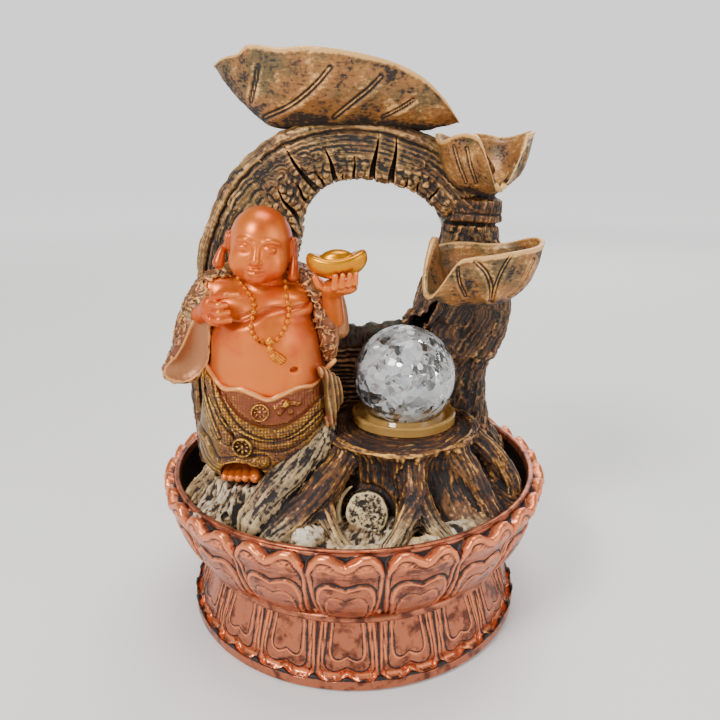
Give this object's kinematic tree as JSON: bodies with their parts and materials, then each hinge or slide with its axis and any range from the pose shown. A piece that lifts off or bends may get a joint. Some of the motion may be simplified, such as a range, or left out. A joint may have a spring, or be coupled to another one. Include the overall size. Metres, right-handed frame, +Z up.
{
  "type": "tabletop water fountain",
  "caption": "Tabletop fountain with a lotus basin, tree arch with leaf cups, monk figure, lit dish with a spinning crackle-glass ball, and a hidden pump.",
  "frame": {"origin": "on the basin's axis, at the surface the rubber feet stand on", "axes": "+Z up, -Y is the front where the figure and the ball are, +X to the right as seen from the front"},
  "size_m": [0.274, 0.274, 0.394],
  "materials": {
    "copper_resin": "cold-cast resin, copper paint with dark antique wash",
    "bark_resin": "cold-cast resin, bark painted and dry-brushed",
    "rock_resin": "cold-cast resin, stone painted and dry-brushed",
    "leaf_resin": "cold-cast resin, bronze-olive paint",
    "skin_resin": "cold-cast resin, satin metallic copper paint",
    "robe_resin": "cold-cast resin, copper paint with dark wash in relief",
    "gold_resin": "cold-cast resin, gold paint",
    "black_rubber": "moulded",
    "pump_plastic": "moulded",
    "knob_plastic": "moulded",
    "rotor_plastic": "moulded",
    "shaft_steel": "ground",
    "hose_vinyl": "clear vinyl",
    "clear_plastic": "clear moulded",
    "lamp_plastic": "moulded",
    "circuit_board": "solder mask",
    "lamp_chip": "encapsulated",
    "crystal": "crackled"
  },
  "bodies": {
    "base": {"lotus_basin": "copper_resin", "rubber_feet": "black_rubber", "cord_grommet": "black_rubber", "pump_body": "pump_plastic", "pump_cable_gland": "black_rubber", "volute_cover": "pump_plastic", "intake_grille": "pump_plastic", "impeller_shaft": "shaft_steel", "shaft_bushes": "black_rubber", "suction_cups": "black_rubber"},
    "sculpture": {"outlet_coupler": "hose_vinyl", "tee_connector": "lamp_plastic", "leaf_hose": "hose_vinyl", "jet_hose": "hose_vinyl", "hose_clips": "bark_resin", "leaf_spout": "lamp_plastic", "jet_nozzle": "lamp_plastic", "rock_base": "rock_resin", "tree_stump": "bark_resin", "arch_trunk": "bark_resin", "right_trunk": "bark_resin", "saddle_trunk": "bark_resin", "top_leaf": "leaf_resin", "upper_leaf_cup": "leaf_resin", "lower_leaf_cup": "leaf_resin", "led_housing": "lamp_plastic", "led_board": "circuit_board", "led_chips": "lamp_chip", "led_gasket": "black_rubber", "led_lens": "clear_plastic", "ball_dish": "clear_plastic", "figure_head": "skin_resin", "figure_torso": "skin_resin", "figure_robe": "robe_resin", "figure_trousers": "robe_resin", "figure_foot": "skin_resin", "pointing_hand": "skin_resin", "raised_hand": "skin_resin", "gold_ingot": "gold_resin", "prayer_beads": "gold_resin"},
    "impeller": {"impeller": "rotor_plastic"},
    "flow_knob": {"flow_knob": "knob_plastic"},
    "ball": {"crystal_ball": "crystal"}
  },
  "joints": [
    {"name": "sculpture_lift", "type": "slide", "parent": "base", "child": "sculpture", "axis": [0, 0, 1], "range_m": [0, 0.12]},
    {"name": "ball_spin", "type": "hinge", "parent": "sculpture", "child": "ball", "pos_m": [0.035, -0.025, 0.18], "axis": [-0.7071, 0.7071, 0], "continuous": true},
    {"name": "impeller_spin", "type": "hinge", "parent": "base", "child": "impeller", "pos_m": [0.021, 0.042, 0.061], "axis": [1, 0, 0], "continuous": true},
    {"name": "flow_knob_turn", "type": "hinge", "parent": "base", "child": "flow_knob", "pos_m": [0.035, 0.042, 0.061], "axis": [1, 0, 0], "range_deg": [0, 90]}
  ]
}
